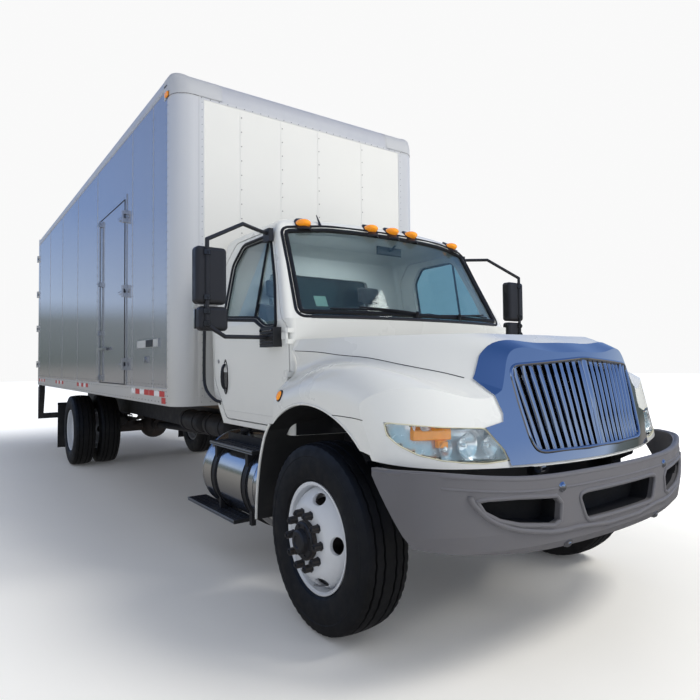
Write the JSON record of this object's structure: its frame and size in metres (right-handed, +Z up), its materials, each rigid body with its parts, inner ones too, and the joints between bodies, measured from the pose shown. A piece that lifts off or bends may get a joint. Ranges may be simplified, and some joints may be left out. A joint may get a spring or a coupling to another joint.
{
  "type": "box truck",
  "caption": "Conventional-cab medium-duty box truck with a long dry freight body, tilting bonnet, twin rear wheels, a kerb-side door and swing rear doors.",
  "frame": {"origin": "on the ground, at the middle of the overall length and width", "axes": "+X forward, +Y to the truck's left, +Z up"},
  "size_m": [11.092, 3.064, 3.8599],
  "materials": {
    "frame_black": "semi-gloss",
    "spring_steel": "matte",
    "cast_parts": "rough",
    "black_plastic": "matte",
    "black_rubber": "matte",
    "polished_aluminium": "polished",
    "step_aluminium": "brushed",
    "bumper_grey": "satin",
    "cab_white": "gloss",
    "cab_glass": "clear",
    "seat_fabric": "woven",
    "amber_lens": "gloss",
    "floor_wood": "worn",
    "body_white": "gloss",
    "roof_aluminium": "mill",
    "body_aluminium": "mill",
    "tyre": "matte",
    "wheel_white": "gloss",
    "chrome": "polished",
    "lamp_lens": "clear"
  },
  "bodies": {
    "chassis": {"frame_rails": "frame_black", "frame_crossmembers": "frame_black", "front_axle": "frame_black", "rear_axle": "frame_black", "leaf_springs": "spring_steel", "driveshaft": "frame_black", "engine": "cast_parts", "radiator": "black_plastic", "fuel_tank": "polished_aluminium", "tank_brackets_steps": "frame_black", "battery_box": "step_aluminium", "splash_panels": "black_plastic", "front_bumper": "bumper_grey", "rear_step": "frame_black", "mudflaps": "black_rubber", "cab_shell": "cab_white", "cab_glass": "cab_glass", "dashboard": "black_plastic", "seats": "seat_fabric", "marker_lamps": "amber_lens", "body_floor": "floor_wood", "body_front_wall": "body_white", "body_wall_left": "body_white", "body_wall_right": "body_white", "body_roof": "roof_aluminium", "body_corner_posts": "body_aluminium", "body_rails": "body_aluminium", "body_rear_frame": "body_aluminium"},
    "knuckle_left": {"knuckle_left": "cast_parts"},
    "knuckle_right": {"knuckle_right": "cast_parts"},
    "tie_rod": {"tie_rod": "spring_steel"},
    "wheel_front_left": {"tyre_front_left": "tyre", "rim_front_left": "wheel_white", "hub_front_left": "cast_parts"},
    "wheel_front_right": {"tyre_front_right": "tyre", "rim_front_right": "wheel_white", "hub_front_right": "cast_parts"},
    "wheels_rear_left": {"tyres_rear_left": "tyre", "rims_rear_left": "wheel_white", "hubs_rear_left": "cast_parts"},
    "wheels_rear_right": {"tyres_rear_right": "tyre", "rims_rear_right": "wheel_white", "hubs_rear_right": "cast_parts"},
    "steering_wheel": {"steering_wheel": "black_plastic"},
    "bonnet": {"bonnet": "cab_white", "grille": "chrome", "headlamps": "lamp_lens"},
    "cab_door_left": {"cab_door_left": "cab_white", "cab_door_glass_left": "cab_glass", "mirror_left": "black_plastic"},
    "cab_door_right": {"cab_door_right": "cab_white", "cab_door_glass_right": "cab_glass", "mirror_right": "black_plastic"},
    "side_door": {"side_door": "body_white"},
    "rear_door_left": {"rear_door_left": "body_white"},
    "rear_door_right": {"rear_door_right": "body_white"}
  },
  "joints": [
    {"name": "steer_left", "type": "hinge", "parent": "chassis", "child": "knuckle_left", "pos_m": [4.416, 0.838, 0.51], "axis": [0, 0, 1], "range_deg": [-35, 35]},
    {"name": "steer_right", "type": "hinge", "parent": "chassis", "child": "knuckle_right", "pos_m": [4.416, -0.838, 0.51], "axis": [0, 0, 1], "range_deg": [-35, 35]},
    {"name": "tie_rod_swing", "type": "hinge", "parent": "knuckle_left", "child": "tie_rod", "pos_m": [4.216, 0.838, 0.388], "axis": [0, 0, 1], "range_deg": [-35, 35]},
    {"name": "steering_wheel_turn", "type": "hinge", "parent": "chassis", "child": "steering_wheel", "pos_m": [3.456, 0.47, 1.69], "axis": [-0.7071, 0, 0.7071], "range_deg": [-630, 630]},
    {"name": "wheel_front_left_spin", "type": "hinge", "parent": "knuckle_left", "child": "wheel_front_left", "pos_m": [4.416, 1.009, 0.51], "axis": [0, 1, 0], "continuous": true},
    {"name": "wheel_front_right_spin", "type": "hinge", "parent": "knuckle_right", "child": "wheel_front_right", "pos_m": [4.416, -1.009, 0.51], "axis": [0, 1, 0], "continuous": true},
    {"name": "wheels_rear_left_spin", "type": "hinge", "parent": "chassis", "child": "wheels_rear_left", "pos_m": [-2.454, 0.908, 0.51], "axis": [0, 1, 0], "continuous": true},
    {"name": "wheels_rear_right_spin", "type": "hinge", "parent": "chassis", "child": "wheels_rear_right", "pos_m": [-2.454, -0.908, 0.51], "axis": [0, 1, 0], "continuous": true},
    {"name": "bonnet_tilt", "type": "hinge", "parent": "chassis", "child": "bonnet", "pos_m": [5.346, 0, 0.93], "axis": [0, 1, 0], "range_deg": [0, 60]},
    {"name": "cab_door_left_swing", "type": "hinge", "parent": "chassis", "child": "cab_door_left", "pos_m": [3.95, 1.043, 1.5], "axis": [0, 0, -1], "range_deg": [0, 70]},
    {"name": "cab_door_right_swing", "type": "hinge", "parent": "chassis", "child": "cab_door_right", "pos_m": [3.95, -1.043, 1.5], "axis": [0, 0, 1], "range_deg": [0, 70]},
    {"name": "side_door_swing", "type": "hinge", "parent": "chassis", "child": "side_door", "pos_m": [1.048, -1.31, 2.2], "axis": [0, 0, 1], "range_deg": [0, 180]},
    {"name": "rear_door_left_swing", "type": "hinge", "parent": "chassis", "child": "rear_door_left", "pos_m": [-5.418, 1.289, 2.5], "axis": [0, 0, -1], "range_deg": [0, 270]},
    {"name": "rear_door_right_swing", "type": "hinge", "parent": "chassis", "child": "rear_door_right", "pos_m": [-5.418, -1.289, 2.5], "axis": [0, 0, 1], "range_deg": [0, 270]}
  ],
  "couplings": [
    {"joint": "steer_right", "follows": "steer_left", "ratio": 1},
    {"joint": "tie_rod_swing", "follows": "steer_left", "ratio": -1},
    {"joint": "steering_wheel_turn", "follows": "steer_left", "ratio": 18}
  ]
}
